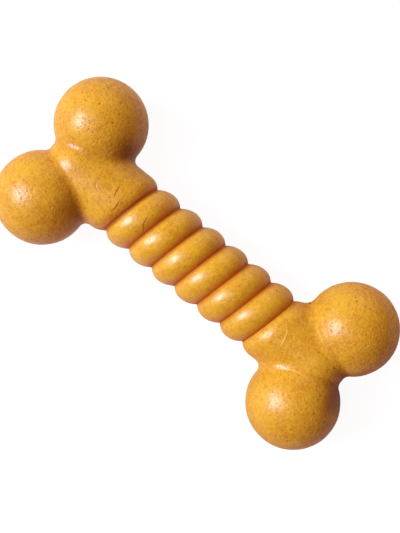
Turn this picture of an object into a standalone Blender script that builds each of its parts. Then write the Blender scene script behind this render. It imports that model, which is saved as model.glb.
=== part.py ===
"""Chew bone moulded from bamboo fibre and resin.

A round bar lies along X. Slanted ribs ring its middle, and each end runs on as a smooth neck
with a round nose, gripped between two balls. The pieces part along the creases that can be
seen on the bone. It rests on its four balls, with the surface under it at Z = 0.
"""

import math

import bpy
from mathutils import Matrix

MM = 0.001

# Balls at the ends of the bone
BALL_RADIUS = 17.28 * MM
BALL_REACH = 58.72 * MM
BALL_SPREAD = 17.03 * MM
REST_FLAT_RADIUS = 2.00 * MM

# Round bar between them, with its noses
BAR_RADIUS = 13.83 * MM
NOSE_REACH = 67.60 * MM

# Slanted ribs around the middle of the bar, a little nearer the right end
RIB_COUNT = 6
RIB_PITCH = 10.60 * MM
RIB_CROWN_RADIUS = 7.26 * MM
RIB_TILT = math.radians(12.5)
RIBS_OFFSET = 1.40 * MM

# Gap kept along every crease between neighbouring pieces
PARTING_GAP = 0.30 * MM

# Fineness of the round surfaces
TURN_STEPS = 40
BALL_ARC_STEPS = 18
NOSE_ARC_STEPS = 8
CROWN_ARC_STEPS = 8
BARREL_STEPS = 3
MERGE_DISTANCE = 0.001 * MM
SHARP_EDGE = math.radians(40.0)

# Golden bamboo composite; the ribs are the most polished
BAMBOO_COLOUR = (0.70, 0.32, 0.036, 1.0)
BALL_ROUGHNESS = 0.48
NECK_ROUGHNESS = 0.45
RIB_ROUGHNESS = 0.38

# Worked out from the sizes above
AXIS_HEIGHT = math.sqrt(BALL_RADIUS ** 2 - REST_FLAT_RADIUS ** 2)
NOSE_CENTRE = NOSE_REACH - BAR_RADIUS
RIBS_HALF_LENGTH = RIB_COUNT * RIB_PITCH / 2
TILT_SLOPE = math.tan(RIB_TILT)
END_SIDES = {"left": -1, "right": 1}
BALL_SIDES = {"front": -1, "back": 1}


def arc(centre, radius, start, end, steps):
    """Points of an arc in the profile plane, as (radius, height), between two angles."""
    turn = (end - start) / steps
    angles = [start + turn * step for step in range(steps + 1)]
    return [(centre[0] + radius * math.cos(a), centre[1] + radius * math.sin(a)) for a in angles]


def crown_arc(height, start_offset, end_offset, steps):
    """Rounded rim of a rib whose middle is at a height, between two offsets along the bar."""
    start = math.asin(start_offset / RIB_CROWN_RADIUS)
    end = math.asin(end_offset / RIB_CROWN_RADIUS)
    return arc((BAR_RADIUS - RIB_CROWN_RADIUS, height), RIB_CROWN_RADIUS, start, end, steps)


def turned_mesh(name, profile):
    """Mesh of a profile turned about Z. The profile runs down its outer side, top to bottom."""
    wire = bpy.data.meshes.new(name + "_profile")
    points = [(radius, 0.0, height) for radius, height in profile]
    edges = [(index, index + 1) for index in range(len(points) - 1)]
    wire.from_pydata(points, edges, [])
    blank = bpy.data.objects.new(name + "_blank", wire)
    bpy.context.scene.collection.objects.link(blank)
    screw = blank.modifiers.new("Turn", "SCREW")
    screw.axis = "Z"
    screw.angle = math.tau
    screw.steps = TURN_STEPS
    screw.render_steps = TURN_STEPS
    screw.use_merge_vertices = True
    screw.merge_threshold = MERGE_DISTANCE
    mesh = bpy.data.meshes.new_from_object(blank.evaluated_get(bpy.context.evaluated_depsgraph_get()))
    mesh.name = name
    bpy.data.objects.remove(blank)
    bpy.data.meshes.remove(wire)
    return mesh


def lay_along_x(mesh, side):
    """Turn a mesh that was made about Z so that its top points to the left or right end."""
    mesh.transform(Matrix.Rotation(side * math.pi / 2, 4, "Y"))


def slant(mesh, share_at):
    """Slide each slice of a bar piece along X by its place across the bar, times a local share."""
    for vertex in mesh.vertices:
        vertex.co.x += TILT_SLOPE * vertex.co.y * share_at(vertex.co.x)


def bamboo(name, roughness):
    """Bamboo composite for one piece."""
    material = bpy.data.materials.new(name + "_bamboo")
    material.use_nodes = True
    shader = material.node_tree.nodes["Principled BSDF"]
    shader.inputs["Base Color"].default_value = BAMBOO_COLOUR
    shader.inputs["Roughness"].default_value = roughness
    shader.inputs["Metallic"].default_value = 0.0
    return material


def place(name, mesh, location, collection, parent):
    """Make a mesh a named object in a collection, under the bone's own empty."""
    piece = bpy.data.objects.new(name, mesh)
    piece.location = location
    piece.parent = parent
    collection.objects.link(piece)
    return piece


def finish(piece, roughness):
    """Give a piece its material and smooth shading with crisp parting edges."""
    piece.data.materials.append(bamboo(piece.name, roughness))
    piece.data.shade_smooth()
    piece.data.set_sharp_from_angle(angle=SHARP_EDGE)


def make_rib(number, pieces, bone):
    """One slanted rib: a solid disc with a rounded rim."""
    name = "rib_%d" % number
    half_width = (RIB_PITCH - PARTING_GAP) / 2
    rim = crown_arc(0.0, half_width, -half_width, CROWN_ARC_STEPS)
    mesh = turned_mesh(name, [(0.0, half_width)] + rim + [(0.0, -half_width)])
    lay_along_x(mesh, 1)
    slant(mesh, lambda x: 1.0)
    middle = RIBS_OFFSET - RIBS_HALF_LENGTH + (number - 0.5) * RIB_PITCH
    finish(place(name, mesh, (middle, 0.0, AXIS_HEIGHT), pieces, bone), RIB_ROUGHNESS)


def make_neck(end, pieces, bone):
    """One smooth end of the bar: a half rib at its slanted face, a barrel and a round nose."""
    name = end + "_neck"
    side = END_SIDES[end]
    face = RIBS_HALF_LENGTH + side * RIBS_OFFSET
    shoulder = face + RIB_PITCH / 2
    barrel_length = NOSE_CENTRE - shoulder
    nose = arc((0.0, NOSE_CENTRE), BAR_RADIUS, math.pi / 2, 0.0, NOSE_ARC_STEPS)
    barrel = [(BAR_RADIUS, NOSE_CENTRE - barrel_length * step / BARREL_STEPS)
              for step in range(1, BARREL_STEPS)]
    rim = crown_arc(shoulder, 0.0, (PARTING_GAP - RIB_PITCH) / 2, CROWN_ARC_STEPS // 2)
    foot = [(0.0, face + PARTING_GAP / 2)]
    mesh = turned_mesh(name, nose + barrel + rim + foot)
    lay_along_x(mesh, side)

    def share_at(x):
        """All of the slant up to the shoulder, and none of it one rib further along."""
        beyond = (abs(x) - shoulder) / RIB_PITCH
        return min(1.0, max(0.0, 1.0 - beyond))

    slant(mesh, share_at)
    finish(place(name, mesh, (0.0, 0.0, AXIS_HEIGHT), pieces, bone), NECK_ROUGHNESS)


def make_seat(end, cutters, bone):
    """Cutter for the saddle in both balls of one end: the bar and its nose, grown by the gap."""
    name = end + "_seat"
    radius = BAR_RADIUS + PARTING_GAP
    nose = arc((0.0, NOSE_CENTRE), radius, math.pi / 2, 0.0, NOSE_ARC_STEPS)
    foot = [(radius, RIBS_HALF_LENGTH), (0.0, RIBS_HALF_LENGTH)]
    mesh = turned_mesh(name, nose + foot)
    lay_along_x(mesh, END_SIDES[end])
    seat = place(name, mesh, (0.0, 0.0, AXIS_HEIGHT), cutters, bone)
    seat.hide_render = True
    seat.display_type = "WIRE"
    return seat


def make_ball(end, flank, seat, pieces, bone):
    """One ball, flat where it rests, with a saddle that sits over the bar."""
    name = "%s_%s_ball" % (end, flank)
    flat_angle = math.asin(REST_FLAT_RADIUS / BALL_RADIUS)
    skin = arc((0.0, 0.0), BALL_RADIUS, math.pi / 2, flat_angle - math.pi / 2, BALL_ARC_STEPS)
    mesh = turned_mesh(name, skin + [(0.0, -AXIS_HEIGHT)])
    centre = (END_SIDES[end] * BALL_REACH, BALL_SIDES[flank] * BALL_SPREAD, AXIS_HEIGHT)
    ball = place(name, mesh, centre, pieces, bone)
    finish(ball, BALL_ROUGHNESS)
    saddle = ball.modifiers.new("Saddle", "BOOLEAN")
    saddle.operation = "DIFFERENCE"
    saddle.solver = "EXACT"
    saddle.object = seat


def make_bone():
    """Build every piece of the bone under one empty at its resting centre."""
    for leftover in list(bpy.data.objects):
        bpy.data.objects.remove(leftover)
    pieces = bpy.data.collections.new("bamboo_chew_bone")
    cutters = bpy.data.collections.new("cutters")
    for collection in (pieces, cutters):
        bpy.context.scene.collection.children.link(collection)
    bone = bpy.data.objects.new("bone_centre", None)
    pieces.objects.link(bone)
    for number in range(1, RIB_COUNT + 1):
        make_rib(number, pieces, bone)
    for end in END_SIDES:
        make_neck(end, pieces, bone)
        seat = make_seat(end, cutters, bone)
        for flank in BALL_SIDES:
            make_ball(end, flank, seat, pieces, bone)


make_bone()
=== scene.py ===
"""Looks of a chew bone moulded from bamboo fibre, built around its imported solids.

The real bone is one moulding, so its pieces share one skin: balls run into the necks over rolled
fillets, and ribs meet in narrow rounded grooves. Each piece is still a closed solid of its own, a
ball with its saddle, a neck with its nose, a rib with its flat sides, and the pieces meet along
the creases without a step. All sizes are in metres. The skin is worked out about the bone's axis,
which lies along X, and each piece is lifted to the axis's height as it is finished.
"""

import logging
import math
from dataclasses import dataclass
from enum import Enum
from typing import Any, Callable, Dict, List, Optional, Sequence, Tuple, Union

import bmesh
import bpy
import numpy as np
from mathutils import Matrix, Vector


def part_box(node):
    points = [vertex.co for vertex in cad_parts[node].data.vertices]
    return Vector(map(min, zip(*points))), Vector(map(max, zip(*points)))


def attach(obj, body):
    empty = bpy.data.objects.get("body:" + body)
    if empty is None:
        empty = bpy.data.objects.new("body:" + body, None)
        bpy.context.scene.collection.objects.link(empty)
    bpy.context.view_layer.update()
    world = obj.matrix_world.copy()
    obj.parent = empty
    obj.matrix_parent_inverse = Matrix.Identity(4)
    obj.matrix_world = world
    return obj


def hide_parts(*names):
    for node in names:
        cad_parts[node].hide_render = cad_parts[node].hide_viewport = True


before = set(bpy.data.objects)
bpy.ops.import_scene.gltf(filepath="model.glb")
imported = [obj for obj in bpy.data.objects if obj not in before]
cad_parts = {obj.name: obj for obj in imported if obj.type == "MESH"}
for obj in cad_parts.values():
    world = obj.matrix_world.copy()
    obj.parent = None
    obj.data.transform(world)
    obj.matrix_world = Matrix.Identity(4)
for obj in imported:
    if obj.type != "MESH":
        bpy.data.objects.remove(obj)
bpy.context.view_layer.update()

MM = 0.001
BODY = "root"

# Fineness of the meshes
FACE_SIZE = 0.36 * MM
BALL_SUBDIVISIONS = 7
TURN_STEPS = 240
REFINE_CUTS = 2
MERGE_DISTANCE = 1e-7

# Rounds and margins of the searches for points on the skin
HALVINGS = 26
CREST_ROUNDS = 3
SLANT_ROUNDS = 26
LIFT_MARGIN = 1.1
SEAM_TOLERANCE = 3e-6

# Step that slopes are measured over, least strength of a flaw that counts, and least length
SLOPE_STEP = 0.02 * MM
FLAW_EDGE = 1e-3
TINY = 1e-12

# How far from the next surface the painted shade of a crease begins
CREASE_SHADE_REACH = 2.1 * MM

# How far the hidden walls of two pieces stay apart, and how far a ball's lip is tucked in
SEAT_GAP = 0.15 * MM
LIP_TUCK = 0.6 * MM

Points = np.ndarray
Scalars = np.ndarray
Flags = np.ndarray
Level = Callable[[Points], Scalars]
Outline = List[Tuple[float, float]]
Route = Tuple[Tuple[float, float], ...]
Tone = Tuple[float, float, float, float]

log = logging.getLogger("chew_bone")


class End(Enum):
    """The two ends of the bone, with the sign of their side along X."""

    LEFT = -1
    RIGHT = 1


class Flank(Enum):
    """The two balls of an end, with the sign of their side along Y."""

    FRONT = -1
    BACK = 1


class SkinValue(Enum):
    """Numbers that each vertex holds for the finish, with the names of their attributes."""

    MARK = "mark"
    # Painted shade in creases and grooves
    CREASE = "crease"
    DULL = "dull"
    # Painted shade on the right flanks of ribs
    FLANK_SHADE = "flank_shade"


def lengths(vectors: Points) -> Scalars:
    """Length of each row vector."""
    return np.sqrt((vectors * vectors).sum(axis=1))


def unit(vectors: Points) -> Points:
    """Each row vector at length one."""
    return vectors / np.maximum(lengths(vectors), TINY)[:, None]


def smooth_step(share: Scalars) -> Scalars:
    """Ease shares from 0 to 1, held at both ends."""
    held = np.clip(share, 0.0, 1.0)
    return held ** 2 * (3 - 2 * held)


def steps_between(start: float, end: float, size: float) -> List[float]:
    """Even steps from start to end, both included, no longer than a size."""
    count = max(1, math.ceil(abs(end - start) / size))
    return np.linspace(start, end, count + 1).tolist()


def furthest(limit: Scalars, holds: Callable[[Scalars], Flags]) -> Scalars:
    """Find by halving how far from zero a test holds.

    Args:
        limit: Greatest distances that are looked at.
        holds: Tells for distances whether the test holds there.

    Returns:
        The distances up to which the test holds.
    """
    low = np.zeros(len(limit))
    high = limit
    for _ in range(HALVINGS):
        middle = (low + high) / 2
        held = holds(middle)
        low = np.where(held, middle, low)
        high = np.where(held, high, middle)
    return low


def fillet_height(radius: Scalars) -> Scalars:
    """Height of a rolled fillet above both of its surfaces, in its valley."""
    return radius * (1.0 - math.sqrt(0.5))


def fillet_lift(base: Points, outward: Points, radius_at: Level, other: Level) -> Scalars:
    """Find how far a fillet stands above a surface.

    Args:
        base: Points on the surface.
        outward: The surface's normals there.
        radius_at: Radius of the fillet at points.
        other: Distance of points from the surface on the fillet's other side.

    Returns:
        Height of the fillet over each point, zero beyond its edge.
    """

    def under_fillet(lift: Scalars) -> Flags:
        """Whether the places at a height above the surface are inside the fillet.

        Args:
            lift: The height over each point.

        Returns:
            The answer for each point.
        """
        place = base + outward * lift[:, None]
        radius = radius_at(place)
        reach = np.maximum(radius - other(place), 0.0)
        return (radius - lift) ** 2 + reach ** 2 > radius ** 2

    return furthest(fillet_height(radius_at(base)) * LIFT_MARGIN, under_fillet)


def fillet_normal(
    own: Points, own_gap: Scalars, other: Points, other_gap: Scalars, radius: Scalars
) -> Points:
    """Normals of a fillet between two surfaces.

    Args:
        own: Normals of the first surface.
        own_gap: Distances from the first surface.
        other: Normals of the second surface.
        other_gap: Distances from the second surface.
        radius: Radius of the fillet.

    Returns:
        Unit normals of the blended skin.
    """
    near = np.maximum(radius - own_gap, 0.0)[:, None]
    far = np.maximum(radius - other_gap, 0.0)[:, None]
    return unit(own * near + other * far)


@dataclass(frozen=True)
class BoneForm:
    """Sizes of the bone about its own axis, read from the solids where they show them."""

    axis_height: float
    bar_radius: float
    nose_centre: float
    ball_radius: float
    ball_reach: float
    ball_spread: float
    rib_pitch: float
    ribs_middle: float
    rib_count: int

    # Ribs, their grooves, and the painted shade, a redder tone, on their right flanks
    crown_radius: float = 7.26 * MM
    slant: float = math.tan(math.radians(12.5))
    groove_fillet: float = 0.35 * MM
    groove_reach: float = 2.4 * MM
    flank_shade_reach: float = 4.6 * MM

    # Fillets beside the balls, wide towards the ribs and tight towards the nose
    wide_fillet: float = 3.0 * MM
    wide_before: float = 43.0 * MM
    tight_fillet: float = 1.5 * MM
    tight_after: float = 53.0 * MM

    # The softer fillet of the right back ball, and its dull band in fillet radii
    softest_fillet: float = 3.6 * MM
    softest_after: float = 66.0 * MM
    softest_dullness: float = 0.72
    dull_edge: float = 1.25
    dull_fade: float = 0.5

    @classmethod
    def from_frame(cls) -> "BoneForm":
        """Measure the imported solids.

        Returns:
            The form that they share.
        """
        neck_low, neck_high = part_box("right_neck")
        _, ball_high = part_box("right_back_ball")
        ribs = sorted(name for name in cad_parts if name.startswith("rib_"))
        middles = [sum(corner.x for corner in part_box(name)) / 2 for name in ribs]
        axis_height = (neck_low.z + neck_high.z) / 2
        bar_radius = (neck_high.y - neck_low.y) / 2
        ball_radius = ball_high.z - axis_height
        return cls(
            axis_height=axis_height,
            bar_radius=bar_radius,
            nose_centre=neck_high.x - bar_radius,
            ball_radius=ball_radius,
            ball_reach=ball_high.x - ball_radius,
            ball_spread=ball_high.y - ball_radius,
            rib_pitch=(middles[-1] - middles[0]) / (len(ribs) - 1),
            ribs_middle=(middles[0] + middles[-1]) / 2,
            rib_count=len(ribs),
        )

    @property
    def crown_centre(self) -> float:
        """Distance of a rib's crown centre from the bone's axis."""
        return self.bar_radius - self.crown_radius

    @property
    def groove_angle(self) -> float:
        """Angle on a rib's crown at which its skin reaches the middle of a groove."""
        reach = self.crown_radius + fillet_height(self.groove_fillet)
        return math.asin(self.rib_pitch / 2 / reach)

    def ball_centre(self, end: End, flank: Flank) -> Points:
        """Centre of one ball, about the bone's axis."""
        return np.array([end.value * self.ball_reach, flank.value * self.ball_spread, 0.0])

    def rib_middle(self, number: int) -> float:
        """Place of a rib's middle along the bone, counted from 1 at the left."""
        return self.ribs_middle + (number - (self.rib_count + 1) / 2) * self.rib_pitch

    def end_groove(self, end: End) -> float:
        """Place of the last groove before a neck, along the bone."""
        return self.ribs_middle + end.value * self.rib_count * self.rib_pitch / 2

    def crown_arc(self, middle: float, start: float, end: float) -> Outline:
        """Trace a rib's crown, a face at a time.

        Args:
            middle: Place of the rib's middle along the bone.
            start: Angle on the crown to start from, zero at its top.
            end: Angle to end at.

        Returns:
            Points as (along, radius).
        """
        return [
            (
                middle + self.crown_radius * math.sin(angle),
                self.crown_centre + self.crown_radius * math.cos(angle),
            )
            for angle in steps_between(start, end, FACE_SIZE / self.crown_radius)
        ]

    def bar_offset(self, points: Points) -> Points:
        """Measure points from the bar's axis.

        Args:
            points: Places about the bone's axis.

        Returns:
            Vectors to them from the nearest place on the bar's axis, noses included.
        """
        offset = points.copy()
        offset[:, 0] -= np.clip(points[:, 0], -self.nose_centre, self.nose_centre)
        return offset

    def bar_gap(self, points: Points) -> Scalars:
        """Distance of points from the smooth bar."""
        return lengths(self.bar_offset(points)) - self.bar_radius

    @staticmethod
    def beside_soft_ball(points: Points) -> Flags:
        """Whether points are nearest to the right back ball."""
        return (points[:, 0] > 0) & (points[:, 1] > 0)

    def ball_fillet(self, points: Points) -> Scalars:
        """Radius of the fillet beside a ball: wide towards the ribs, tight over and round the nose.

        Args:
            points: Places near the fillet; those of the right back ball get a softer one.

        Returns:
            The radius at each place.
        """
        soft = self.beside_soft_ball(points)
        end = np.where(soft, self.softest_after, self.tight_after)
        share = (np.abs(points[:, 0]) - self.wide_before) / (end - self.wide_before)
        wide = np.where(soft, self.softest_fillet, self.wide_fillet)
        return wide + (self.tight_fillet - wide) * smooth_step(share)

    def crease_level(self, base: Points, outward: Points, other: Level) -> Scalars:
        """Tell on which side of a ball's crease points are.

        Args:
            base: Places on the ball or on the bar.
            outward: Its normals there.
            other: Distance of points from the surface across the crease.

        Returns:
            Zero on the crease, positive on the surface's own side, negative beyond.
        """
        skin = base
        for _ in range(CREST_ROUNDS):
            crest = fillet_height(self.ball_fillet(skin))
            skin = base + outward * crest[:, None]
        return other(skin) - crest

    def dullness(self, points: Points, gap: Scalars) -> Scalars:
        """Share of its gloss that the skin loses on the soft fillet of the right back ball.

        Args:
            points: Places on the skin.
            gap: Their distances from the surface on the fillet's other side.

        Returns:
            The lost share at each place.
        """
        on_fillet = smooth_step((self.dull_edge - gap / self.ball_fillet(points)) / self.dull_fade)
        return np.where(self.beside_soft_ball(points), on_fillet * self.softest_dullness, 0.0)

    def groove_dullness(self, gap: Scalars) -> Scalars:
        """Share of its gloss that the skin loses in a groove, at distances from the next rib."""
        return smooth_step(1.0 - gap / self.groove_reach)

    def flank_shade(self, along: Scalars, gap: Scalars) -> Scalars:
        """Share of the painted shade, a redder tone, that the skin has on the right flank of a rib.

        Args:
            along: Places along the bone, from the rib's middle.
            gap: Distances from the next rib.

        Returns:
            The share at each place, zero on the left flank.
        """
        return np.where(along > 0, smooth_step(1.0 - gap / self.flank_shade_reach), 0.0)

    def settle_on_crown(self, section: Points) -> Tuple[Points, Points, Scalars]:
        """Put points on a rib's crown, with the groove's fillets at its sides.

        Args:
            section: Points as (along, radius), measured from the rib's middle.

        Returns:
            The settled points and their normals in the same terms, and their distance from the
            next rib.
        """
        centre = np.array([0.0, self.crown_centre])
        outward = unit(section - centre)
        base = centre + outward * self.crown_radius
        side = np.where(section[:, 0] < 0, -self.rib_pitch, self.rib_pitch)
        next_centre = np.stack([side, np.full(len(section), self.crown_centre)], axis=1)

        def next_gap(points: Points) -> Scalars:
            """Distance from the crown of the next rib."""
            return lengths(points - next_centre) - self.crown_radius

        radius = np.full(len(section), self.groove_fillet)
        lift = fillet_lift(base, outward, lambda points: radius, next_gap)
        settled = base + outward * lift[:, None]
        gap = next_gap(settled)
        normals = fillet_normal(outward, lift, unit(settled - next_centre), gap, radius)
        return settled, normals, gap


FORM = BoneForm.from_frame()


@dataclass(frozen=True)
class Waves:
    """Slight unevenness of the moulded skin: seeded plane waves of one typical length.

    Attributes:
        length: The typical length.
        height: Depth of the lowest places.
        count: How many waves are added up.
        seed: Seed of their draws.
        spread: Least and greatest number of waves in a typical length.
        span: Standard deviations of the sum that the height covers.
    """

    length: float
    height: float
    count: int
    seed: int
    spread: Tuple[float, float] = (0.6, 1.5)
    span: float = 4.0

    def depth(self, points: Points) -> Scalars:
        """Depth of the skin below its ideal surface.

        Args:
            points: Places on the skin.

        Returns:
            The depth at each place, from zero to the waves' height.
        """
        draw = np.random.default_rng(self.seed)
        heading = unit(draw.normal(size=(self.count, 3)))
        number = math.tau / self.length * draw.uniform(*self.spread, size=self.count)
        phase = draw.uniform(0.0, math.tau, size=self.count)
        total = np.zeros(len(points))
        for index in range(self.count):
            total += np.sin(points @ (heading[index] * number[index]) + phase[index])
        level = total / math.sqrt(self.count / 2)
        return self.height * np.clip(0.5 + level / self.span, 0.0, 1.0)


@dataclass(frozen=True)
class Furrow:
    """A crack, scar, wrinkle, raised lip or band of painted shade along a short route on the upper side.

    Attributes:
        route: Points of the route in plan, in millimetres.
        half_width: Distance from the route at which depth and tone are down to about a third.
        depth_at_middle: Depth on the route, negative where it is raised and zero for a band of painted
            shade.
        mark: Tone on the route, negative where dark and positive where pale; on the lips the pale tone
            is a painted highlight.
    """

    route: Route
    half_width: float
    depth_at_middle: float
    mark: float

    def strength(self, points: Points) -> Scalars:
        """Share of the furrow's full depth and tone.

        Args:
            points: Places on the skin.

        Returns:
            The share at each place, from 0 to 1, running out at both ends of the route.
        """
        plan = points[:, :2]
        nodes = np.array(self.route) * MM
        steps = np.concatenate([[0.0], np.cumsum(lengths(np.diff(nodes, axis=0)))])
        best = np.full(len(points), np.inf)
        along = np.zeros(len(points))
        for start, end, run in zip(nodes, nodes[1:], steps):
            leg = end - start
            share = np.clip((plan - start) @ leg / (leg @ leg), 0.0, 1.0)
            gap = lengths(plan - start - share[:, None] * leg)
            along = np.where(gap < best, run + share * math.hypot(*leg), along)
            best = np.minimum(best, gap)
        taper = np.clip(np.sin(math.pi * along / steps[-1]), 0.0, 1.0) ** 0.5
        core = np.exp(-((best / self.half_width) ** 2))
        return np.where(points[:, 2] > 0, core * taper, 0.0)


@dataclass(frozen=True)
class Pit:
    """A small dark pit on the upper side of a ball.

    Attributes:
        end: The ball's end of the bone.
        flank: The ball's flank.
        place: The pit's place in plan, in millimetres from the ball's centre.
        radius: Distance from its middle at which depth and tone are down to about a third.
        depth_at_middle: Depth at its middle.
        mark: Tone at its middle, negative where dark.
    """

    end: End
    flank: Flank
    place: Tuple[float, float]
    radius: float
    depth_at_middle: float = 0.14 * MM
    mark: float = -1.0

    def strength(self, points: Points) -> Scalars:
        """Share of the pit's full depth and tone.

        Args:
            points: Places on the skin.

        Returns:
            The share at each place, from 0 to 1.
        """
        centre = FORM.ball_centre(self.end, self.flank)[:2] + np.array(self.place) * MM
        gap = lengths(points[:, :2] - centre)
        return np.where(points[:, 2] > 0, np.exp(-((gap / self.radius) ** 2)), 0.0)


@dataclass(frozen=True)
class PaintedShade:
    """Painted shade: a soft dark patch on the upper side of a ball, where it runs into its crease.

    Attributes:
        end: The ball's end of the bone.
        flank: The ball's flank.
        place: The stain's place in plan, in millimetres from the ball's centre.
        radius: Distance from its middle at which its tone is down to about a third.
        mark: Tone at its middle, negative where dark.
        depth_at_middle: Zero, because painted shade has no depth.
        edge: Distance off the ball at which the painted shade ends.
    """

    end: End
    flank: Flank
    place: Tuple[float, float]
    radius: float
    mark: float
    depth_at_middle: float = 0.0
    edge: float = 2.0 * MM

    def strength(self, points: Points) -> Scalars:
        """Share of the painted shade's full tone.

        Args:
            points: Places on the skin.

        Returns:
            The share at each place, from 0 to 1.
        """
        centre = FORM.ball_centre(self.end, self.flank)
        gap = lengths(points[:, :2] - centre[:2] - np.array(self.place) * MM)
        on_ball = smooth_step(1.0 - (lengths(points - centre) - FORM.ball_radius) / self.edge)
        return np.where(points[:, 2] > 0, np.exp(-((gap / self.radius) ** 2)) * on_ball, 0.0)


FlawOrPaintedLight = Union[Furrow, Pit, PaintedShade]


@dataclass(frozen=True)
class Relief:
    """Everything that breaks up the ideal skin: unevenness, furrows, pits, and painted shade and
    highlights.
    """

    waves: Tuple[Waves, ...]
    flaws_and_painted_light: Tuple[FlawOrPaintedLight, ...]

    def depth(self, points: Points) -> Scalars:
        """Depth of the skin below its ideal surface."""
        total = sum(waves.depth(points) for waves in self.waves)
        return total + sum(flaw_or_light.depth_at_middle * flaw_or_light.strength(points) for flaw_or_light in self.flaws_and_painted_light)

    def slope(self, points: Points) -> Points:
        """Gradient of the depth.

        Args:
            points: Places on the skin.

        Returns:
            The gradient at each place, one row each.
        """
        columns = []
        for axis in range(3):
            step = np.zeros(3)
            step[axis] = SLOPE_STEP
            rise = self.depth(points + step) - self.depth(points - step)
            columns.append(rise / (2 * SLOPE_STEP))
        return np.stack(columns, axis=1)

    def marks(self, points: Points) -> Scalars:
        """Tone of the flaws and of the painted shade and highlights: negative where dark, positive where
        pale.
        """
        return sum(flaw_or_light.mark * flaw_or_light.strength(points) for flaw_or_light in self.flaws_and_painted_light)


def ring(centre: Tuple[float, float], radius: float, legs: int) -> Route:
    """Route of a round wrinkle in plan, in millimetres."""
    turns = np.linspace(0.0, math.tau, legs + 1)
    return tuple(
        (centre[0] + radius * math.cos(turn), centre[1] + radius * math.sin(turn)) for turn in turns
    )


def groove_route(number: int) -> Route:
    """Follow a groove across the bone.

    Args:
        number: The groove, counted from 0 at the left neck.

    Returns:
        The route in plan, in millimetres.
    """
    middle = FORM.end_groove(End.LEFT) + number * FORM.rib_pitch
    sides = (-FORM.bar_radius, 0.0, FORM.bar_radius)
    return tuple(((middle + FORM.slant * side) / MM, side / MM) for side in sides)


# Half width in millimetres and tone of the bands of painted shade in the first grooves, from the left
# neck on
GROOVE_SHADE_BANDS = ((0.9, -0.70), (0.7, -0.50), (0.7, -0.40), (0.7, -0.30))

FLAWS_AND_PAINTED_LIGHT: Tuple[FlawOrPaintedLight, ...] = (
    # Two cracks on the left neck
    Furrow(
        route=((-38.0, 4.3), (-37.7, 2.5), (-37.6, 1.2), (-36.7, -0.6)),
        half_width=0.19 * MM, depth_at_middle=0.08 * MM, mark=-1.0,
    ),
    Furrow(
        route=((-34.9, 0.6), (-34.5, -1.3), (-34.3, -2.9), (-34.8, -5.2)),
        half_width=0.19 * MM, depth_at_middle=0.08 * MM, mark=-0.9,
    ),
    # A crack on the first rib
    Furrow(
        route=((-23.5, 1.9), (-23.1, -1.4), (-21.9, -2.7), (-21.5, -3.9)),
        half_width=0.17 * MM, depth_at_middle=0.08 * MM, mark=-1.0,
    ),
    # A raised scar on the right neck
    Furrow(
        route=((37.4, 3.6), (39.0, 2.4), (39.9, 1.0), (40.7, -1.2), (41.2, -4.0), (40.9, -5.4)),
        half_width=0.26 * MM, depth_at_middle=-0.10 * MM, mark=0.8,
    ),
    # A round wrinkle on the left neck
    Furrow(
        route=ring((-42.4, 0.6), 2.9, 20),
        half_width=0.26 * MM, depth_at_middle=0.07 * MM, mark=-0.35,
    ),
    # A raised lip along the crease of the right back ball, its pale tone a painted highlight, with a
    # band of painted shade beside it
    Furrow(
        route=((44.9, 10.8), (47.2, 9.1), (50.1, 7.3), (53.2, 5.7)),
        half_width=0.50 * MM, depth_at_middle=-0.06 * MM, mark=0.80,
    ),
    Furrow(
        route=((43.2, 10.4), (45.6, 8.3), (48.6, 6.2)),
        half_width=1.3 * MM, depth_at_middle=0.0, mark=-0.35,
    ),
    # A raised lip along the crease of the right front ball, its pale tone a painted highlight
    Furrow(
        route=((43.8, -11.2), (46.1, -9.6), (49.0, -8.2), (51.7, -7.1), (54.5, -6.6), (57.1, -7.0)),
        half_width=0.40 * MM, depth_at_middle=-0.06 * MM, mark=0.85,
    ),
    # Painted shade in the first grooves and on the right nose
    *(
        Furrow(groove_route(number), half_width * MM, depth_at_middle=0.0, mark=mark)
        for number, (half_width, mark) in enumerate(GROOVE_SHADE_BANDS)
    ),
    Furrow(
        route=((60.5, 0.6), (66.0, 0.3), (72.0, 0.0)),
        half_width=4.0 * MM, depth_at_middle=0.0, mark=-0.45,
    ),
    # Pits of the balls
    Pit(End.LEFT, Flank.BACK, (-4.3, 11.2), 0.34 * MM),
    Pit(End.LEFT, Flank.BACK, (-2.4, 4.6), 0.30 * MM),
    Pit(End.LEFT, Flank.BACK, (5.3, 2.3), 0.26 * MM),
    Pit(End.LEFT, Flank.BACK, (1.9, -4.7), 0.26 * MM),
    Pit(End.RIGHT, Flank.FRONT, (6.1, 2.3), 0.30 * MM),
    Pit(End.RIGHT, Flank.FRONT, (3.5, -7.1), 0.28 * MM),
    Pit(End.RIGHT, Flank.BACK, (-7.0, 8.1), 0.32 * MM),
    Pit(End.RIGHT, Flank.BACK, (-7.9, 9.1), 0.24 * MM),
    Pit(End.RIGHT, Flank.BACK, (2.7, 0.9), 0.26 * MM),
    # Painted shade beside the creases of the left balls and in the notch between the right balls
    PaintedShade(End.LEFT, Flank.BACK, (15.4, -2.4), 6.2 * MM, mark=-0.6),
    PaintedShade(End.LEFT, Flank.FRONT, (15.8, 4.8), 7.0 * MM, mark=-0.6),
    PaintedShade(End.RIGHT, Flank.FRONT, (10.0, 10.0), 6.0 * MM, mark=-0.75),
)


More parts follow.
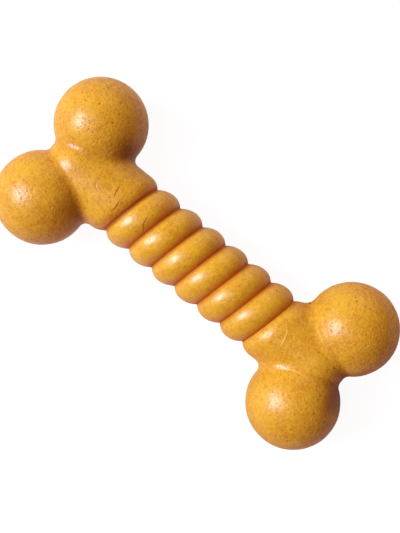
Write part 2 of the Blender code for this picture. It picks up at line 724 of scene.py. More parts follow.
def moulded_relief(ripple: float, pebble: float) -> Relief:
    """Give a kind of piece its relief.

    Args:
        ripple: Height of its short ripples.
        pebble: Height of its pebbled skin.

    Returns:
        The relief, with the swells, flaws and painted shade and highlights that all pieces share.
    """
    return Relief(
        waves=(
            Waves(length=9.0 * MM, height=0.10 * MM, count=20, seed=11),
            Waves(length=2.6 * MM, height=ripple, count=28, seed=12),
            Waves(length=1.2 * MM, height=pebble, count=36, seed=13),
        ),
        flaws_and_painted_light=FLAWS_AND_PAINTED_LIGHT,
    )


RIB_RELIEF = moulded_relief(ripple=0.020 * MM, pebble=0.012 * MM)
END_RELIEF = moulded_relief(ripple=0.025 * MM, pebble=0.030 * MM)


class Value:
    """A shader value: one socket, with arithmetic that adds Math nodes."""

    def __init__(self, bench: "NodeBench", socket: bpy.types.NodeSocket) -> None:
        """Wrap a socket of a bench's tree."""
        self.bench = bench
        self.socket = socket

    def __add__(self, other: "Number") -> "Value":
        """Sum."""
        return self.bench.math("ADD", self, other)

    def __sub__(self, other: "Number") -> "Value":
        """Difference."""
        return self.bench.math("SUBTRACT", self, other)

    def __rsub__(self, other: "Number") -> "Value":
        """Difference from a number."""
        return self.bench.math("SUBTRACT", other, self)

    def __mul__(self, other: "Number") -> "Value":
        """Product."""
        return self.bench.math("MULTIPLY", self, other)

    def __gt__(self, other: "Number") -> "Value":
        """One where this is greater, and otherwise zero."""
        return self.bench.math("GREATER_THAN", self, other)

    __radd__ = __add__
    __rmul__ = __mul__


Number = Union[Value, float]

# Sockets that a Mix node has for colours
MIX_SHARE = 0
MIX_FIRST = 6
MIX_SECOND = 7
MIX_RESULT = 2


class NodeBench:
    """A node tree under construction."""

    def __init__(self, tree: bpy.types.NodeTree) -> None:
        """Start on a tree with nothing in it."""
        self.tree = tree
        self.tree.nodes.clear()

    def node(
        self,
        kind: str,
        settings: Optional[Dict[str, Any]] = None,
        inputs: Optional[Dict[Union[int, str], Any]] = None,
    ) -> bpy.types.Node:
        """Add one node.

        Args:
            kind: The node's type.
            settings: Its properties, set before its sockets; a ramp's stops go under "stops".
            inputs: Values, sockets or shader values for its input sockets.

        Returns:
            The node.
        """
        made = self.tree.nodes.new(kind)
        for name, value in (settings or {}).items():
            if name == "stops":
                self.set_stops(made.color_ramp, value)
            else:
                setattr(made, name, value)
        for key, value in (inputs or {}).items():
            if isinstance(value, Value):
                value = value.socket
            if isinstance(value, bpy.types.NodeSocket):
                self.tree.links.new(value, made.inputs[key])
            else:
                made.inputs[key].default_value = value
        return made

    @staticmethod
    def set_stops(ramp: bpy.types.ColorRamp, stops: Sequence[Tuple[float, Tone]]) -> None:
        """Give a colour ramp its stops.

        Args:
            ramp: The ramp of a new node.
            stops: Each stop's place and colour, from low to high.
        """
        while len(ramp.elements) < len(stops):
            ramp.elements.new(1.0)
        for element, (place, tone) in zip(ramp.elements, stops):
            element.position = place
            element.color = tone

    def value(
        self,
        kind: str,
        settings: Optional[Dict[str, Any]] = None,
        inputs: Optional[Dict[Union[int, str], Any]] = None,
        output: Union[int, str] = 0,
    ) -> Value:
        """Add one node and take one of its outputs as a shader value."""
        return Value(self, self.node(kind, settings, inputs).outputs[output])

    def math(self, operation: str, first: Number, second: Number) -> Value:
        """Add a Math node on two values."""
        return self.value("ShaderNodeMath", {"operation": operation}, {0: first, 1: second})

    def band(self, value: Value, low: float, high: float) -> Value:
        """Ease a value from one level to another.

        Args:
            value: The value to ease.
            low: The level that becomes 0.
            high: The level that becomes 1.

        Returns:
            The eased value, held at both ends.
        """
        return self.value(
            "ShaderNodeMapRange",
            {"interpolation_type": "SMOOTHSTEP"},
            {"Value": value, "From Min": low, "From Max": high},
        )

    def mix(self, share: Number, first: Union[Value, Tone], second: Union[Value, Tone]) -> Value:
        """Mix two colours.

        Args:
            share: Share of the second colour.
            first: The colour at a share of 0.
            second: The colour at a share of 1.

        Returns:
            The mixed colour.
        """
        return self.value(
            "ShaderNodeMix",
            {"data_type": "RGBA", "blend_type": "MIX", "clamp_factor": True},
            {MIX_SHARE: share, MIX_FIRST: first, MIX_SECOND: second},
            output=MIX_RESULT,
        )

    def skin_value(self, which: SkinValue) -> Value:
        """Read a number that the skin holds."""
        return self.value("ShaderNodeAttribute", {"attribute_name": which.value}, output="Fac")


NodeShader = Callable[[NodeBench], bpy.types.Node]


def colour(red: float, green: float, blue: float) -> Tone:
    """A colour with full alpha."""
    return (red, green, blue, 1.0)


WHITE = colour(1.0, 1.0, 1.0)


@dataclass(frozen=True)
class Mottle:
    """Soft mottling of one size: features to the millimetre, detail and share of the tone."""

    scale: float
    detail: float
    share: float = 1.0

    def level(self, bench: NodeBench, place: Value) -> Value:
        """Soft noise from 0 to 1, at a position in millimetres."""
        inputs = {"Vector": place, "Scale": self.scale, "Detail": self.detail}
        return bench.value("ShaderNodeTexNoise", inputs=inputs)


@dataclass(frozen=True)
class Specks:
    """Scattered round specks of one kind.

    Attributes:
        scale: Cells to the millimetre.
        filled: Share of the cells that hold a speck.
        radius: Radius of a full speck, in cells.
        strength: How strongly a speck shows.
        least: Size of the smallest speck, as a share of a full one.
        blur: Distances inside its edge, in cells, at which a speck has faded and is full.
    """

    scale: float
    filled: float
    radius: float
    strength: float
    least: float = 0.4
    blur: Tuple[float, float] = (-0.16, 0.12)

    def level(self, bench: NodeBench, place: Value) -> Value:
        """Scatter the specks.

        Args:
            bench: The tree to add to.
            place: Position in millimetres.

        Returns:
            One inside a speck and zero outside.
        """
        cells = bench.node("ShaderNodeTexVoronoi", inputs={"Vector": place, "Scale": self.scale})
        gap = Value(bench, cells.outputs["Distance"])
        pick = bench.node("ShaderNodeSeparateColor", inputs={0: cells.outputs["Color"]})
        held = Value(bench, pick.outputs[0]) > 1.0 - self.filled
        size = Value(bench, pick.outputs[1]) * (1.0 - self.least) + self.least
        return bench.band(size * self.radius - gap, *self.blur) * held


@dataclass(frozen=True)
class Strands:
    """Short pale fibres lying in several directions.

    Attributes:
        turns: Directions of the fibres, as rotations.
        stretch: Features to the millimetre along and across a fibre.
        blur: Levels of the noise at which a fibre begins and is full.
        strength: How strongly a fibre shows.
    """

    turns: Tuple[Tuple[float, float, float], ...] = ((0.3, 0.5, 0.1), (1.2, -0.4, 1.3), (-0.7, 1.1, 2.4))
    stretch: Tuple[float, float, float] = (0.5, 3.4, 3.4)
    blur: Tuple[float, float] = (0.60, 0.70)
    strength: float = 0.25

    def level(self, bench: NodeBench, place: Value) -> Value:
        """Lay the fibres.

        Args:
            bench: The tree to add to.
            place: Position in millimetres.

        Returns:
            One on a fibre, more where fibres cross, and zero elsewhere.
        """
        noise = Mottle(scale=1.0, detail=1.0)
        total: Number = 0.0
        for turn in self.turns:
            inputs = {"Vector": place, "Rotation": turn, "Scale": self.stretch}
            lie = bench.value("ShaderNodeMapping", inputs=inputs)
            total = bench.band(noise.level(bench, lie), *self.blur) + total
        return total


CLOUDS = Mottle(scale=0.11, detail=2.0, share=0.22)
PATCHES = Mottle(scale=0.55, detail=3.0, share=0.28)
GRAIN = Mottle(scale=1.9, detail=3.0, share=0.50)
PEBBLES = Mottle(scale=1.0, detail=3.0)
FLECKS = Specks(scale=0.45, filled=0.45, radius=0.30, strength=0.28)
DOTS = Specks(scale=0.30, filled=0.20, radius=0.15, strength=0.45)
STRANDS = Strands()


@dataclass(frozen=True)
class BambooFinish:
    """Ground bamboo fibre set in resin: mottled ochre with strands, specks and a satin skin."""

    name: str
    slot: str
    relief: Relief
    roughness: float
    grain_depth: float

    # Gloss of the skin, and what pores and dull places take from it
    roughness_spread: float = 0.16
    worn_roughness: float = 0.15
    sheen: float = 0.25
    gloss_share: float = 0.7
    gloss_roughness: float = 0.28
    pore_share: float = 0.7
    pore_strength: float = 0.32
    pore_depth: float = 0.25
    pore_loss: float = 0.9

    # Levels of the mottled ground's three tones, and shares of the specks, painted shade and marks that
    # lie over it
    ground_levels: Tuple[float, float, float] = (0.385, 0.50, 0.615)
    speck_gain: float = 1.0
    crease_shade_share: float = 0.3
    flank_shade_share: float = 0.8
    dark_share: float = 0.9
    pale_share: float = 0.7
    mark_band: Tuple[float, float] = (0.05, 0.9)

    # Tones; the last two are painted shade, in creases and on the right flanks of ribs
    pale: Tone = colour(0.76, 0.455, 0.027)
    main: Tone = colour(0.685, 0.366, 0.017)
    deep: Tone = colour(0.57, 0.245, 0.012)
    strand: Tone = colour(0.92, 0.54, 0.045)
    husk: Tone = colour(0.42, 0.120, 0.008)
    speck: Tone = colour(0.24, 0.062, 0.008)
    crease_shade_tone: Tone = colour(0.42, 0.120, 0.008)
    flank_shade_tone: Tone = colour(0.67, 0.176, 0.008)

    def material(self) -> bpy.types.Material:
        """Make the finish as a node material.

        Returns:
            The material.
        """
        made = bpy.data.materials.new(self.name)
        made.use_nodes = True
        bench = NodeBench(made.node_tree)
        place = bench.value("ShaderNodeTexCoord", output="Object")
        place = bench.value(
            "ShaderNodeVectorMath", {"operation": "SCALE"}, {0: place, "Scale": 1.0 / MM}
        )
        grain = GRAIN.level(bench, place)
        specks = Specks(scale=0.85, filled=self.pore_share, radius=0.34, strength=self.pore_strength)
        pores = specks.level(bench, place)
        dull = bench.skin_value(SkinValue.DULL)
        rough = self.roughness + (grain - 0.5) * self.roughness_spread
        height = PEBBLES.level(bench, place) - pores * self.pore_depth
        bump = bench.value(
            "ShaderNodeBump",
            inputs={"Strength": 1.0, "Distance": self.grain_depth, "Height": height},
        )
        shader = bench.node(
            "ShaderNodeBsdfPrincipled",
            inputs={
                "Base Color": self.tone(bench, place, grain, pores),
                "Roughness": rough + (pores + dull) * self.worn_roughness,
                "Normal": bump,
                "Specular IOR Level": self.sheen,
                "Coat Weight": (1.0 - pores * self.pore_loss) * (1.0 - dull) * self.gloss_share,
                "Coat Roughness": self.gloss_roughness,
            },
        )
        bench.node("ShaderNodeOutputMaterial", inputs={"Surface": shader.outputs[0]})
        return made

    def tone(self, bench: NodeBench, place: Value, grain: Value, pores: Value) -> Value:
        """Colour the skin: a mottled ground, then fibres and specks, then painted shade on rib flanks
        and in creases, then marks, some of them painted shade and highlights.

        Args:
            bench: The tree to add to.
            place: Position in millimetres.
            grain: Level of the finest mottling.
            pores: Level of the pores.

        Returns:
            The colour.
        """
        clouds = CLOUDS.level(bench, place)
        patches = PATCHES.level(bench, place)
        tone = bench.value(
            "ShaderNodeValToRGB",
            {"stops": list(zip(self.ground_levels, (self.deep, self.main, self.pale)))},
            {0: clouds * CLOUDS.share + patches * PATCHES.share + grain * GRAIN.share},
        )
        tone = bench.mix(STRANDS.level(bench, place) * STRANDS.strength, tone, self.strand)
        tone = bench.mix(pores * self.pore_strength, tone, self.husk)
        for specks, dark in ((FLECKS, self.husk), (DOTS, self.speck)):
            share = specks.strength * self.speck_gain
            tone = bench.mix(specks.level(bench, place) * share, tone, dark)
        # Painted shade on the right flanks of ribs, the side away from the key lamp
        tone = bench.mix(bench.skin_value(SkinValue.FLANK_SHADE) * self.flank_shade_share, tone, self.flank_shade_tone)
        # Painted shade in creases and grooves
        tone = bench.mix(bench.skin_value(SkinValue.CREASE) * self.crease_shade_share, tone, self.crease_shade_tone)
        # Dark marks are cracks, pits, the wrinkle and painted shade; pale marks are the scar and the
        # painted highlights on the lips
        mark = bench.skin_value(SkinValue.MARK)
        tone = bench.mix(bench.band(0.0 - mark, *self.mark_band) * self.dark_share, tone, self.speck)
        return bench.mix(bench.band(mark, *self.mark_band) * self.pale_share, tone, self.strand)


@dataclass
class Skin:
    """A piece before its skin is broken up.

    Attributes:
        mesh: The piece's closed mesh.
        points: Place of each vertex on the ideal skin, or on a hidden wall.
        normals: Outward direction there.
        shown: Whether the vertex is on the outside.
        next_gap: Its distance from the surface across the nearest crease.
        dull: Share of the gloss that is lost there.
        flank_shade: Share of the painted shade on the right flank of a rib there.
    """

    mesh: bpy.types.Mesh
    points: Points
    normals: Points
    shown: Flags
    next_gap: Scalars
    dull: Scalars
    flank_shade: Scalars

    def break_up(self, relief: Relief) -> None:
        """Sink the skin by its relief, rest it on the floor and give it its normals.

        Args:
            relief: The relief of this kind of piece.
        """
        depth = np.where(self.shown, relief.depth(self.points), 0.0)
        slope = np.where(self.shown[:, None], relief.slope(self.points), 0.0)
        across = slope - self.normals * (slope * self.normals).sum(axis=1)[:, None]
        settled = self.points - self.normals * depth[:, None]
        facing = unit(self.normals + across)
        settled[:, 2] += FORM.axis_height
        resting = settled[:, 2] < 0
        settled[resting, 2] = 0.0
        facing[resting] = (0.0, 0.0, -1.0)
        self.mesh.vertices.foreach_set("co", settled.astype(np.float32).ravel())
        self.mesh.shade_smooth()
        self.mesh.update()
        self.mesh.normals_split_custom_set_from_vertices(facing.tolist())

    def keep_values(self, relief: Relief) -> None:
        """Store the numbers that the finish reads, zero on the hidden walls.

        Args:
            relief: The relief of this kind of piece.
        """
        values = {
            SkinValue.MARK: relief.marks(self.points),
            # Painted shade, deepest where the next surface is nearest
            SkinValue.CREASE: smooth_step(1.0 - self.next_gap / CREASE_SHADE_REACH),
            SkinValue.DULL: self.dull,
            SkinValue.FLANK_SHADE: self.flank_shade,
        }
        for which, numbers in values.items():
            layer = self.mesh.attributes.new(which.value, "FLOAT", "POINT")
            layer.data.foreach_set("value", np.where(self.shown, numbers, 0.0).astype(np.float32))


@dataclass
class Piece:
    """One piece of the bone: a closed mesh that stands for a solid of the same name."""

    name: str
    finish: BambooFinish

    @property
    def skin_name(self) -> str:
        """Name of the finished piece."""
        return self.name + "_skin"

    def shape(self) -> Skin:
        """Model the ideal piece."""
        raise NotImplementedError

    def make(self, material: bpy.types.Material) -> bpy.types.Object:
        """Model the piece, break up its skin, dress it and tie it to the bone.

        Args:
            material: The finish as a node material.

        Returns:
            The finished object.
        """
        skin = self.shape()
        skin.keep_values(self.finish.relief)
        skin.mesh.materials.append(material)
        skin.break_up(self.finish.relief)
        piece = bpy.data.objects.new(self.skin_name, skin.mesh)
        bpy.context.scene.collection.objects.link(piece)
        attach(piece, BODY)
        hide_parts(self.name)
        return piece


def mesh_points(mesh: bpy.types.Mesh) -> Points:
    """Read the vertex places of a mesh.

    Args:
        mesh: The mesh.

    Returns:
        The places, one row each.
    """
    flat = np.empty(len(mesh.vertices) * 3)
    mesh.vertices.foreach_get("co", flat)
    return flat.reshape(-1, 3)


def bmesh_points(form: bmesh.types.BMesh) -> Points:
    """Vertex places of a bmesh, one row each."""
    return np.array([vertex.co[:] for vertex in form.verts])


def to_mesh(form: bmesh.types.BMesh, name: str) -> bpy.types.Mesh:
    """Turn a finished bmesh into a mesh and free it.

    Args:
        form: The finished bmesh.
        name: Name of the mesh.

    Returns:
        The mesh.
    """
    mesh = bpy.data.meshes.new(name)
    form.to_mesh(mesh)
    form.free()
    return mesh


def score(form: bmesh.types.BMesh, level: Level) -> None:
    """Cut edges into a bmesh along the curve where a level is zero; nothing is removed.

    Args:
        form: The bmesh to cut.
        level: The level of points, positive on the side that will show.
    """
    rest = form.verts.layers.float_vector.new("rest")
    for vertex, height in zip(form.verts, level(bmesh_points(form))):
        vertex[rest] = vertex.co
        vertex.co.y = height
    bmesh.ops.bisect_plane(
        form,
        geom=form.verts[:] + form.edges[:] + form.faces[:],
        dist=MERGE_DISTANCE,
        plane_co=(0.0, 0.0, 0.0),
        plane_no=(0.0, 1.0, 0.0),
    )
    for vertex in form.verts:
        vertex.co = vertex[rest]
    form.verts.layers.float_vector.remove(rest)


def refine_near_flaws(form: bmesh.types.BMesh) -> None:
    """Split the edges around cracks, lips and pits, so that their shape is in the mesh.

    Args:
        form: The bmesh to refine.
    """
    points = bmesh_points(form)
    close = sum(flaw_or_light.strength(points) for flaw_or_light in FLAWS_AND_PAINTED_LIGHT if flaw_or_light.depth_at_middle) > FLAW_EDGE
    form.verts.index_update()
    edges = [edge for edge in form.edges if any(close[vertex.index] for vertex in edge.verts)]
    if edges:
        bmesh.ops.subdivide_edges(form, edges=edges, cuts=REFINE_CUTS, use_grid_fill=True)


def turn_about_axis(outline: Outline) -> bmesh.types.BMesh:
    """Spin an outline about the bone's axis into a closed solid.

    Args:
        outline: Points as (along, radius), from the axis and back to it.

    Returns:
        The solid, with its faces pointing out.
    """
    form = bmesh.new()
    verts = [form.verts.new((along, radius, 0.0)) for along, radius in outline]
    edges = [form.edges.new(pair) for pair in zip(verts, verts[1:])]
    bmesh.ops.spin(
        form,
        geom=verts + edges,
        cent=(0.0, 0.0, 0.0),
        axis=(1.0, 0.0, 0.0),
        angle=math.tau,
        steps=TURN_STEPS,
        use_merge=True,
    )
    bmesh.ops.remove_doubles(form, verts=form.verts, dist=MERGE_DISTANCE)
    bmesh.ops.recalc_face_normals(form, faces=form.faces)
    return form


def crown_in_space(upright: Points, middle: float) -> Tuple[Points, Points, Scalars]:
    """Settle the points of a rib that isn't slanted yet, then slant them.

    Args:
        upright: Points about the bone's axis, before the slant.
        middle: Place of the rib's middle along the bone.

    Returns:
        The slanted points on the rib's skin, their normals, and their distance from the next rib.
    """
    radius = lengths(upright[:, 1:])
    around = upright[:, 1:] / np.maximum(radius, TINY)[:, None]
    section = np.stack([upright[:, 0] - middle, radius], axis=1)
    settled, facing, gap = FORM.settle_on_crown(section)
    on_rim = radius > FORM.crown_centre
    settled[~on_rim] = section[~on_rim]
    points = np.column_stack([settled[:, 0] + middle, around * settled[:, 1:]])
    normals = np.column_stack([facing[:, 0], around * facing[:, 1:]])
    points[:, 0] += FORM.slant * points[:, 1]
    normals[:, 1] -= FORM.slant * normals[:, 0]
    return points, unit(normals), gap


@dataclass
class Ball(Piece):
    """One ball, with a fillet down to the bar and a saddle inside it."""

    end: End
    flank: Flank

    @property
    def centre(self) -> Points:
        """The ball's centre."""
        return FORM.ball_centre(self.end, self.flank)

    def on_ball(self, points: Points) -> Tuple[Points, Points]:
        """Places on the round ball towards points, and the ball's normals there."""
        outward = unit(points - self.centre)
        return self.centre + outward * FORM.ball_radius, outward

    def crease(self, points: Points) -> Scalars:
        """Level of points by the ball's crease: positive above the bar."""
        return FORM.crease_level(*self.on_ball(points), FORM.bar_gap)

    def shape(self) -> Skin:
        """Model the ball from a fine sphere, scored along its crease.

        Returns:
            The ideal ball.
        """
        form = bmesh.new()
        bmesh.ops.create_icosphere(
            form,
            subdivisions=BALL_SUBDIVISIONS,
            radius=FORM.ball_radius,
            matrix=Matrix.Translation(Vector(self.centre)),
        )
        refine_near_flaws(form)
        score(form, self.crease)
        mesh = to_mesh(form, self.skin_name)
        points = mesh_points(mesh)
        shown = self.crease(points) > -SEAM_TOLERANCE
        base, outward = self.on_ball(points)
        lift = fillet_lift(base, outward, FORM.ball_fillet, FORM.bar_gap)
        skin = base + outward * lift[:, None]
        gap = FORM.bar_gap(skin)
        across = unit(FORM.bar_offset(skin))
        normals = fillet_normal(outward, lift, across, gap, FORM.ball_fillet(skin))
        return Skin(
            mesh=mesh,
            points=np.where(shown[:, None], skin, self.saddle(outward)),
            normals=np.where(shown[:, None], normals, outward),
            shown=shown,
            next_gap=gap,
            dull=FORM.dullness(skin, gap),
            flank_shade=np.zeros(len(points)),
        )

    def saddle(self, outward: Points) -> Points:
        """Settle the hidden wall that sits over the bar.

        Args:
            outward: Directions from the ball's centre.

        Returns:
            Places just off the bar in those directions.
        """

        def clear(reach: Scalars) -> Flags:
            """Whether places at a distance from the centre are still off the bar."""
            return FORM.bar_gap(self.centre + outward * reach[:, None]) > SEAT_GAP

        reach = furthest(np.full(len(outward), FORM.ball_radius - LIP_TUCK), clear)
        return self.centre + outward * reach[:, None]


@dataclass
class Neck(Piece):
    """One smooth end of the bar: half a rib, a barrel and a nose, with fillets up to its balls."""

    end: End

    @property
    def shoulder(self) -> float:
        """Distance along the bone at which the half rib ends."""
        return abs(FORM.end_groove(self.end)) + FORM.rib_pitch / 2

    @property
    def centres(self) -> Points:
        """Centres of the two balls beside the neck, one row each."""
        return np.array([FORM.ball_centre(self.end, flank) for flank in Flank])

    def outline(self) -> Outline:
        """Trace the neck from the axis at the groove to the tip of the nose.

        Returns:
            Points as (along, radius), away from the bone's middle.
        """
        crown = FORM.crown_arc(self.shoulder, -FORM.groove_angle, 0.0)
        barrel = [
            (along, FORM.bar_radius)
            for along in steps_between(self.shoulder, FORM.nose_centre, FACE_SIZE)[1:-1]
        ]
        nose = [
            (
                FORM.nose_centre + FORM.bar_radius * math.sin(angle),
                FORM.bar_radius * math.cos(angle),
            )
            for angle in steps_between(0.0, math.pi / 2, FACE_SIZE / FORM.bar_radius)
        ]
        foot = (self.shoulder - FORM.rib_pitch / 2, 0.0)
        tip = (FORM.nose_centre + FORM.bar_radius, 0.0)
        return [foot, *crown, *barrel, *nose[:-1], tip]

    def ball_gaps(self, points: Points) -> Points:
        """Distances of points from both balls, one row for each ball."""
        return np.array([lengths(points - centre) for centre in self.centres]) - FORM.ball_radius

    def ball_gap(self, points: Points) -> Scalars:
        """Distance of points from the nearer ball."""
        return self.ball_gaps(points).min(axis=0)

    def crease(self, points: Points) -> Scalars:
        """Level of places on the bar by the creases: positive outside the balls."""
        return FORM.crease_level(points, unit(FORM.bar_offset(points)), self.ball_gap)

    def shape(self) -> Skin:
        """Model the neck by turning its outline, then scoring it along both creases.

        Returns:
            The ideal neck.
        """
        side = self.end.value
        form = turn_about_axis([(side * along, radius) for along, radius in self.outline()])
        self.slant_verts(form)
        refine_near_flaws(form)
        score(form, self.crease)
        mesh = to_mesh(form, self.skin_name)
        points = mesh_points(mesh)
        upright = self.upright(points)
        shown = self.crease(points) > -SEAM_TOLERANCE
        outward = unit(FORM.bar_offset(upright))
        base = points - FORM.bar_offset(upright) + outward * FORM.bar_radius
        on_crown = np.abs(upright[:, 0]) < self.shoulder
        groove_gap = np.full(len(points), np.inf)
        base[on_crown], outward[on_crown], groove_gap[on_crown] = crown_in_space(
            upright[on_crown], side * self.shoulder
        )
        lift = fillet_lift(base, outward, FORM.ball_fillet, self.ball_gap) * shown
        skin = base + outward * lift[:, None]
        gap = self.ball_gap(skin)
        across = unit(skin - self.centres[self.ball_gaps(skin).argmin(axis=0)])
        normals = fillet_normal(outward, lift, across, gap, FORM.ball_fillet(skin))
        return Skin(
            mesh=mesh,
            points=skin,
            normals=np.where(shown[:, None], normals, outward),
            shown=shown,
            next_gap=np.minimum(gap, groove_gap),
            dull=np.maximum(FORM.dullness(skin, gap), FORM.groove_dullness(groove_gap)),
            flank_shade=FORM.flank_shade(upright[:, 0] - side * self.shoulder, groove_gap),
        )

    def share_of_slant(self, along: Scalars) -> Scalars:
        """All of the ribs' slant up to the shoulder, none of it one rib further along."""
        return np.clip(1.0 - (np.abs(along) - self.shoulder) / FORM.rib_pitch, 0.0, 1.0)

    def slant_verts(self, form: bmesh.types.BMesh) -> None:
        """Slide the turned slices along the bone, by their place across it.

        Args:
            form: The turned neck.
        """
        for vertex in form.verts:
            share = float(self.share_of_slant(np.array(vertex.co.x)))
            vertex.co.x += FORM.slant * vertex.co.y * share

    def upright(self, points: Points) -> Points:
        """Undo the slant.

        Args:
            points: Slanted points.

        Returns:
            The points as they were before the slant.
        """
        found = points.copy()
        for _ in range(SLANT_ROUNDS):
            shift = FORM.slant * points[:, 1] * self.share_of_slant(found[:, 0])
            found[:, 0] = points[:, 0] - shift
        return found


@dataclass
class Rib(Piece):
    """One slanted rib: a disc whose rim rounds into the grooves beside it."""

    number: int

    def shape(self) -> Skin:
        """Model the rib by turning its rounded outline, then slanting it.

        Returns:
            The ideal rib.
        """
        middle = FORM.rib_middle(self.number)
        rim = FORM.crown_arc(middle, -FORM.groove_angle, FORM.groove_angle)
        foot = (middle - FORM.rib_pitch / 2, 0.0)
        head = (middle + FORM.rib_pitch / 2, 0.0)
        form = turn_about_axis([foot, *rim, head])
        slanted = Matrix.Identity(4)
        slanted[0][1] = FORM.slant
        bmesh.ops.transform(form, matrix=slanted, verts=form.verts)
        refine_near_flaws(form)
        mesh = to_mesh(form, self.skin_name)
        upright = mesh_points(mesh)
        upright[:, 0] -= FORM.slant * upright[:, 1]
        points, normals, gap = crown_in_space(upright, middle)
        return Skin(
            mesh=mesh,
            points=points,
            normals=normals,
            shown=np.ones(len(points), bool),
            next_gap=gap,
            dull=FORM.groove_dullness(gap),
            flank_shade=FORM.flank_shade(upright[:, 0] - middle, gap),
        )


@dataclass(frozen=True)
class Lamp:
    """A broad round lamp, with its direction from the bone as right, up and high in the picture."""

    name: str
    power: float
    size: float
    distance: float
    heading: Tuple[float, float, float]
    tint: Tuple[float, float, float] = (1.0, 1.0, 1.0)
    in_gloss: bool = True


@dataclass(frozen=True)
class Studio:
    """Camera above the bone, a cool lamp to the left, two warm ones for the shade, white all round.

    Attributes:
        picture: Width and height of the picture, in pixels.
        bone_at: Pixel of the picture at which the bone's middle shows.
        bone_turn: Turn of the bone in the picture.
        millimetres_to_pixel: Scale of the picture at the height of the bone's axis.
        distance_in_pixels: Height of the camera above that axis, at the same scale.
        sensor: Width of the camera's sensor, in millimetres.
        lamps: The lamps.
        sky_level: Even light from all round.
        reflected_share: Share of the white studio that shows in gloss on its dim side.
        reflected_gain: Share that is added on its lit side.
        lit_side: Direction of the lit side, as right and up in the picture.
        lit_band: Distances along it over which the studio turns from dim to lit.
        room_radius: Distance of the wall.
        wall_height: Height of the wall.
        wall_segments: Flat panels round the wall.
        floor_tone: Colour of the light that the floor throws back on the bone.
        floor_glow: White of the floor where it shows.
        floor_share: Share of the lamps' light in that white, which keeps the shadow.
    """

    picture: Tuple[int, int] = (400, 533)
    bone_at: Tuple[float, float] = (196.95, 263.3)
    bone_turn: float = math.radians(39.21)
    millimetres_to_pixel: float = 0.3630
    distance_in_pixels: float = 1030.0
    sensor: float = 36.0
    lamps: Tuple[Lamp, ...] = (
        Lamp(
            "key", 52.0, size=1.12, distance=2.0, heading=(-0.74, 0.10, 0.66),
            tint=(0.70, 0.82, 1.0),
        ),
        Lamp(
            "fill", 15.4, size=1.40, distance=2.0, heading=(0.25, 0.90, 0.35),
            tint=(1.0, 0.82, 0.72), in_gloss=False,
        ),
        Lamp(
            "top", 18.8, size=1.40, distance=2.0, heading=(-0.37, -0.07, 0.925),
            tint=(1.0, 0.425, 0.545), in_gloss=False,
        ),
    )
    sky_level: float = 0.01
    reflected_share: float = 0.05
    reflected_gain: float = 0.25
    lit_side: Tuple[float, float] = (-0.60, 0.80)
    lit_band: Tuple[float, float] = (-0.02, 0.03)
    room_radius: float = 4.0
    wall_height: float = 3.0
    wall_segments: int = 96
    floor_tone: Tone = colour(0.68, 0.445, 0.31)
    floor_glow: float = 0.94
    floor_share: float = 0.14

    @property
    def across(self) -> Vector:
        """The picture's rightward direction on the floor."""
        return Vector((math.cos(self.bone_turn), math.sin(self.bone_turn), 0.0))

    @property
    def upward(self) -> Vector:
        """The picture's upward direction on the floor."""
        return Vector((-math.sin(self.bone_turn), math.cos(self.bone_turn), 0.0))

    def add_camera(self) -> None:
        """Look straight down on the bone, with the bone where the picture has it."""
        scale = self.millimetres_to_pixel * MM
        data = bpy.data.cameras.new("camera")
        data.sensor_width = self.sensor
        data.lens = self.distance_in_pixels / max(self.picture) * self.sensor
        camera = bpy.data.objects.new("camera", data)
        right = (self.picture[0] / 2 - self.bone_at[0]) * scale
        up = (self.bone_at[1] - self.picture[1] / 2) * scale
        camera.location = self.across * right + self.upward * up
        camera.location.z = FORM.axis_height + self.distance_in_pixels * scale
        camera.rotation_euler = (0.0, 0.0, self.bone_turn)
        bpy.context.scene.collection.objects.link(camera)
        bpy.context.scene.camera = camera

    def add_lamp(self, lamp: Lamp) -> None:
        """Hang one broad lamp, turned to the bone.

        Args:
            lamp: The lamp.
        """
        data = bpy.data.lights.new(lamp.name, "AREA")
        data.shape = "DISK"
        data.size = lamp.size
        data.energy = lamp.power
        data.color = lamp.tint
        right, up, high = lamp.heading
        heading = (self.across * right + self.upward * up + Vector((0.0, 0.0, high))).normalized()
        made = bpy.data.objects.new(lamp.name, data)
        made.visible_glossy = lamp.in_gloss
        made.location = heading * lamp.distance
        made.rotation_euler = heading.to_track_quat("Z", "Y").to_euler()
        bpy.context.scene.collection.objects.link(made)

    def add_sky(self) -> None:
        """Light the studio evenly from above at a low level."""
        world = bpy.data.worlds.new("sky")
        world.use_nodes = True
        bench = NodeBench(world.node_tree)
        glow = bench.node("ShaderNodeBackground", inputs={"Color": WHITE, "Strength": self.sky_level})
        bench.node("ShaderNodeOutputWorld", inputs={"Surface": glow.outputs[0]})
        bpy.context.scene.world = world

    def seen(self, bench: NodeBench) -> Value:
        """One for what the camera sees, a share of it for what shows in gloss or glass, or zero.

        Args:
            bench: The tree to add to.

        Returns:
            The level; in gloss and glass the studio is whiter towards its lit side.
        """
        path = bench.node("ShaderNodeLightPath")
        straight, gloss, glass = (
            Value(bench, path.outputs[ray])
            for ray in ("Is Camera Ray", "Is Glossy Ray", "Is Transmission Ray")
        )
        place = bench.value("ShaderNodeTexCoord", output="Object")
        heading = self.across * self.lit_side[0] + self.upward * self.lit_side[1]
        along = bench.value(
            "ShaderNodeVectorMath", {"operation": "DOT_PRODUCT"}, {0: place, 1: heading}, output="Value"
        )
        share = bench.band(along, *self.lit_band) * self.reflected_gain + self.reflected_share
        return straight + (gloss + glass) * share

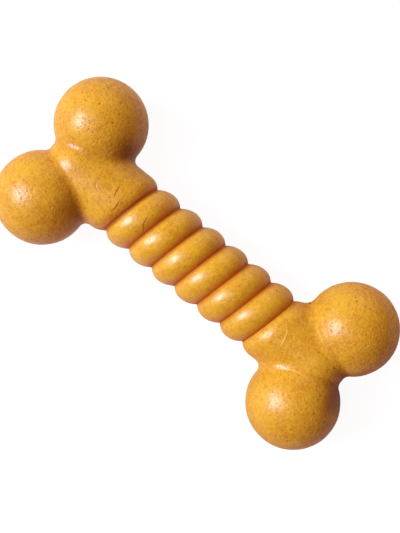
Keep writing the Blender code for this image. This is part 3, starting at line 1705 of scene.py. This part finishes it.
    def white_surface(self, name: str, plain: NodeShader, seen: NodeShader) -> bpy.types.Material:
        """Make a material for the studio.

        Args:
            name: Name of the material.
            plain: Makes the shader that lights the bone.
            seen: Makes the shader that shows, straight or by reflection.

        Returns:
            The material.
        """
        material = bpy.data.materials.new(name)
        material.use_nodes = True
        bench = NodeBench(material.node_tree)
        both = bench.node(
            "ShaderNodeMixShader",
            inputs={
                0: self.seen(bench),
                1: plain(bench).outputs[0],
                2: seen(bench).outputs[0],
            },
        )
        bench.node("ShaderNodeOutputMaterial", inputs={"Surface": both.outputs[0]})
        return material

    def add_floor(self) -> None:
        """Lay a white floor that keeps a faint shadow."""
        form = bmesh.new()
        bmesh.ops.create_grid(form, x_segments=1, y_segments=1, size=self.room_radius)

        def matt(bench: NodeBench) -> bpy.types.Node:
            """The paper of the floor."""
            return bench.node("ShaderNodeBsdfDiffuse", inputs={"Color": self.floor_tone})

        def shown(bench: NodeBench) -> bpy.types.Node:
            """White, with a share of what the lamps leave.

            Args:
                bench: The tree to add to.

            Returns:
                The shader's node.
            """
            level = self.floor_share
            glow = bench.node("ShaderNodeEmission", inputs={"Strength": self.floor_glow})
            shaded = bench.node("ShaderNodeBsdfDiffuse", inputs={"Color": colour(level, level, level)})
            return bench.node("ShaderNodeAddShader", inputs={0: shaded.outputs[0], 1: glow.outputs[0]})

        self.stage("floor", form, self.white_surface("white_floor", matt, shown))

    def add_wall(self) -> None:
        """Stand a round white wall at the floor's edge."""
        form = bmesh.new()
        bmesh.ops.create_cone(
            form,
            cap_ends=False,
            segments=self.wall_segments,
            radius1=self.room_radius,
            radius2=self.room_radius,
            depth=self.wall_height,
            matrix=Matrix.Translation((0.0, 0.0, self.wall_height / 2)),
        )

        def glowing(level: float) -> NodeShader:
            """Even white light of a level."""
            inputs = {"Color": WHITE, "Strength": level}
            return lambda bench: bench.node("ShaderNodeEmission", inputs=inputs)

        surface = self.white_surface("white_wall", glowing(self.sky_level), glowing(1.0))
        self.stage("wall", form, surface)

    @staticmethod
    def stage(name: str, form: bmesh.types.BMesh, surface: bpy.types.Material) -> None:
        """Put a finished form in the studio, as part of the stage.

        Args:
            name: Name of the object.
            form: Its finished bmesh.
            surface: Its material.
        """
        made = bpy.data.objects.new(name, to_mesh(form, name))
        made.data.materials.append(surface)
        bpy.context.scene.collection.objects.link(made)

    def set_up(self) -> None:
        """Place everything around the bone."""
        bpy.context.scene.view_settings.view_transform = "Standard"
        self.add_camera()
        for lamp in self.lamps:
            self.add_lamp(lamp)
        self.add_sky()
        self.add_floor()
        self.add_wall()


RIB_FINISH = BambooFinish(
    "rib_bamboo", "rib_bamboo", RIB_RELIEF, roughness=0.44, grain_depth=0.06 * MM,
    gloss_share=1.0, gloss_roughness=0.31, pore_share=0.25, speck_gain=0.6, crease_shade_share=0.72,
    pale=colour(0.775, 0.485, 0.027),
    main=colour(0.70, 0.390, 0.017),
    deep=colour(0.585, 0.262, 0.012),
    # Painted shade in the grooves
    crease_shade_tone=colour(0.50, 0.122, 0.007),
)
NECK_FINISH = BambooFinish(
    "neck_bamboo", "neck_bamboo", END_RELIEF, roughness=0.50, grain_depth=0.19 * MM,
    pore_share=0.5, speck_gain=0.65,
)
BALL_FINISH = BambooFinish(
    "ball_bamboo", "ball_bamboo", END_RELIEF, roughness=0.50, grain_depth=0.23 * MM,
    speck_gain=0.85,
)


def bone_pieces() -> List[Piece]:
    """List the pieces of the bone.

    Returns:
        Every piece, from the bone's middle outwards.
    """
    pieces: List[Piece] = [
        Rib("rib_%d" % number, RIB_FINISH, number) for number in range(1, FORM.rib_count + 1)
    ]
    for end in End:
        side = end.name.lower()
        pieces.append(Neck(side + "_neck", NECK_FINISH, end))
        for flank in Flank:
            name = "%s_%s_ball" % (side, flank.name.lower())
            pieces.append(Ball(name, BALL_FINISH, end, flank))
    return pieces


def write_sizes() -> None:
    """Bring the view layer up to date."""
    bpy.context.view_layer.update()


def main() -> None:
    """Build the studio and the bone, piece by piece."""
    logging.basicConfig(level=logging.INFO, format="%(name)s %(message)s")
    Studio().set_up()
    materials: Dict[str, bpy.types.Material] = {}
    for piece in bone_pieces():
        if piece.finish.name not in materials:
            materials[piece.finish.name] = piece.finish.material()
        made = piece.make(materials[piece.finish.name])
        log.info("%s: %d faces", made.name, len(made.data.polygons))
    write_sizes()


if __name__ == "__main__":
    main()
